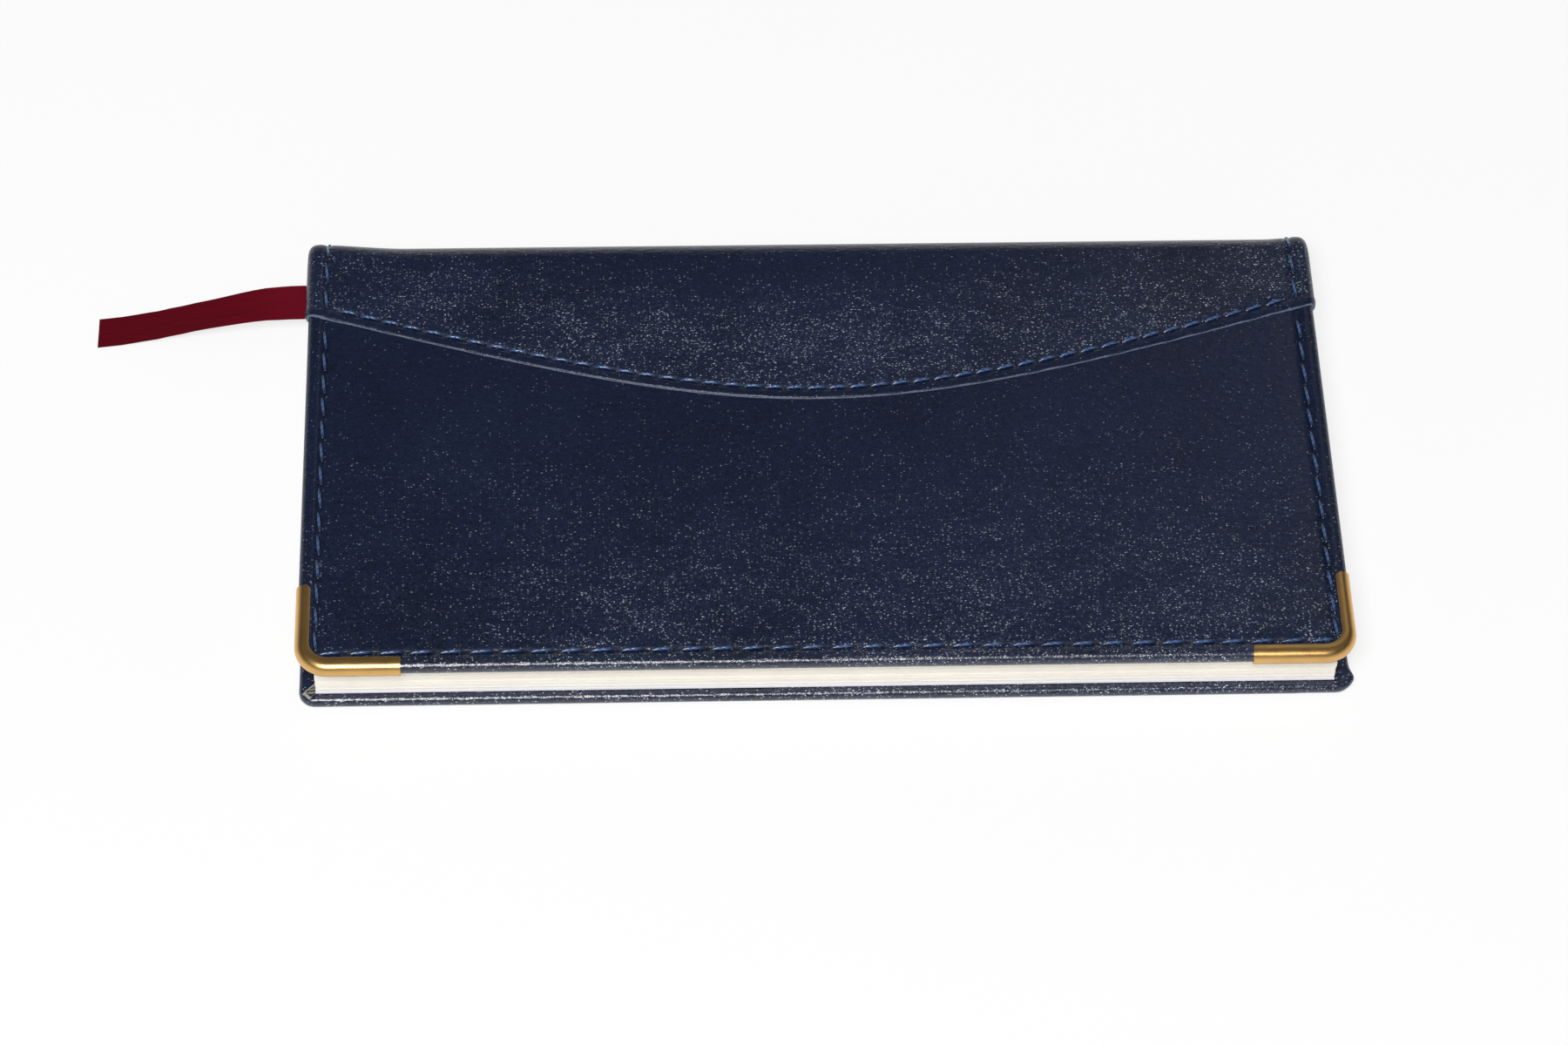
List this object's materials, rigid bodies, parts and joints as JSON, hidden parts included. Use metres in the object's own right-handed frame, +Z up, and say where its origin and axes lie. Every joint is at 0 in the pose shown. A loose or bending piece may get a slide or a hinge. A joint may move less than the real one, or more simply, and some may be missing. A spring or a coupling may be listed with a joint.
{
  "type": "pocket planner",
  "caption": "Slim navy leather pocket planner with a stitched curved yoke, gilt metal corners, cream pages and a red ribbon marker.",
  "frame": {"origin": "middle of the closed planner's box without the ribbon's tail, on its underside", "axes": "+X along the spine from tail to head, +Y from the fore edge to the spine, +Z up through the front cover"},
  "size_m": [0.1999, 0.089, 0.0112],
  "materials": {
    "leather": "satin",
    "thread": "matte",
    "board": "matte",
    "foam": "matte",
    "gilt_metal": "polished",
    "paper": "matte",
    "endpaper": "matte",
    "mull": "matte",
    "ribbon": "satin"
  },
  "bodies": {
    "back_cover": {"back_leather": "leather", "back_board": "board", "back_pastedown": "endpaper", "back_stitching": "thread", "back_flyleaf": "endpaper", "section_1": "paper", "section_2": "paper", "section_3": "paper", "section_4": "paper", "mull_rear": "mull", "ribbon_marker": "ribbon", "ribbon_tail": "ribbon"},
    "spine": {"spine_leather": "leather", "spine_lining": "board", "spine_stitching": "thread"},
    "front_cover": {"front_leather": "leather", "front_padding": "foam", "front_board": "board", "front_pastedown": "endpaper", "front_stitching": "thread", "yoke_panel": "leather", "yoke_stitching": "thread", "corner_tail": "gilt_metal", "corner_head": "gilt_metal"},
    "front_pages": {"section_5": "paper", "section_6": "paper", "front_flyleaf": "endpaper", "mull_front": "mull"},
    "leaf_1": {"leaf_1": "paper"},
    "leaf_2": {"leaf_2": "paper"},
    "leaf_3": {"leaf_3": "paper"},
    "leaf_4": {"leaf_4": "paper"},
    "leaf_5": {"leaf_5": "paper"},
    "leaf_6": {"leaf_6": "paper"},
    "leaf_7": {"leaf_7": "paper"},
    "leaf_8": {"leaf_8": "paper"}
  },
  "joints": [
    {"name": "front_cover_hinge", "type": "hinge", "parent": "spine", "child": "front_cover", "pos_m": [0, 0.04331, 0.00993], "axis": [-1, 0, 0], "range_deg": [0, 90]},
    {"name": "spine_hinge", "type": "hinge", "parent": "back_cover", "child": "spine", "pos_m": [0, 0.04331, 0.00119], "axis": [-1, 0, 0], "range_deg": [0, 90]},
    {"name": "front_pages_hinge", "type": "hinge", "parent": "back_cover", "child": "front_pages", "pos_m": [0, 0.04094, 0.00556], "axis": [-1, 0, 0], "range_deg": [0, 180]},
    {"name": "leaf_1_hinge", "type": "hinge", "parent": "back_cover", "child": "leaf_1", "pos_m": [0, 0.04094, 0.00556], "axis": [-1, 0, 0], "range_deg": [0, 20.01]},
    {"name": "leaf_2_hinge", "type": "hinge", "parent": "back_cover", "child": "leaf_2", "pos_m": [0, 0.04094, 0.00556], "axis": [-1, 0, 0], "range_deg": [0, 40.01]},
    {"name": "leaf_3_hinge", "type": "hinge", "parent": "back_cover", "child": "leaf_3", "pos_m": [0, 0.04094, 0.00556], "axis": [-1, 0, 0], "range_deg": [0, 60.01]},
    {"name": "leaf_4_hinge", "type": "hinge", "parent": "back_cover", "child": "leaf_4", "pos_m": [0, 0.04094, 0.00556], "axis": [-1, 0, 0], "range_deg": [0, 80.01]},
    {"name": "leaf_5_hinge", "type": "hinge", "parent": "back_cover", "child": "leaf_5", "pos_m": [0, 0.04094, 0.00556], "axis": [-1, 0, 0], "range_deg": [0, 100.01]},
    {"name": "leaf_6_hinge", "type": "hinge", "parent": "back_cover", "child": "leaf_6", "pos_m": [0, 0.04094, 0.00556], "axis": [-1, 0, 0], "range_deg": [0, 120.01]},
    {"name": "leaf_7_hinge", "type": "hinge", "parent": "back_cover", "child": "leaf_7", "pos_m": [0, 0.04094, 0.00556], "axis": [-1, 0, 0], "range_deg": [0, 140.01]},
    {"name": "leaf_8_hinge", "type": "hinge", "parent": "back_cover", "child": "leaf_8", "pos_m": [0, 0.04094, 0.00556], "axis": [-1, 0, 0], "range_deg": [0, 160.01]}
  ],
  "couplings": [
    {"joint": "spine_hinge", "follows": "front_cover_hinge", "ratio": 1},
    {"joint": "front_pages_hinge", "follows": "front_cover_hinge", "ratio": 2},
    {"joint": "leaf_1_hinge", "follows": "front_cover_hinge", "ratio": 0.22222},
    {"joint": "leaf_2_hinge", "follows": "front_cover_hinge", "ratio": 0.44444},
    {"joint": "leaf_3_hinge", "follows": "front_cover_hinge", "ratio": 0.66667},
    {"joint": "leaf_4_hinge", "follows": "front_cover_hinge", "ratio": 0.88889},
    {"joint": "leaf_5_hinge", "follows": "front_cover_hinge", "ratio": 1.1111},
    {"joint": "leaf_6_hinge", "follows": "front_cover_hinge", "ratio": 1.3333},
    {"joint": "leaf_7_hinge", "follows": "front_cover_hinge", "ratio": 1.5556},
    {"joint": "leaf_8_hinge", "follows": "front_cover_hinge", "ratio": 1.7778}
  ]
}
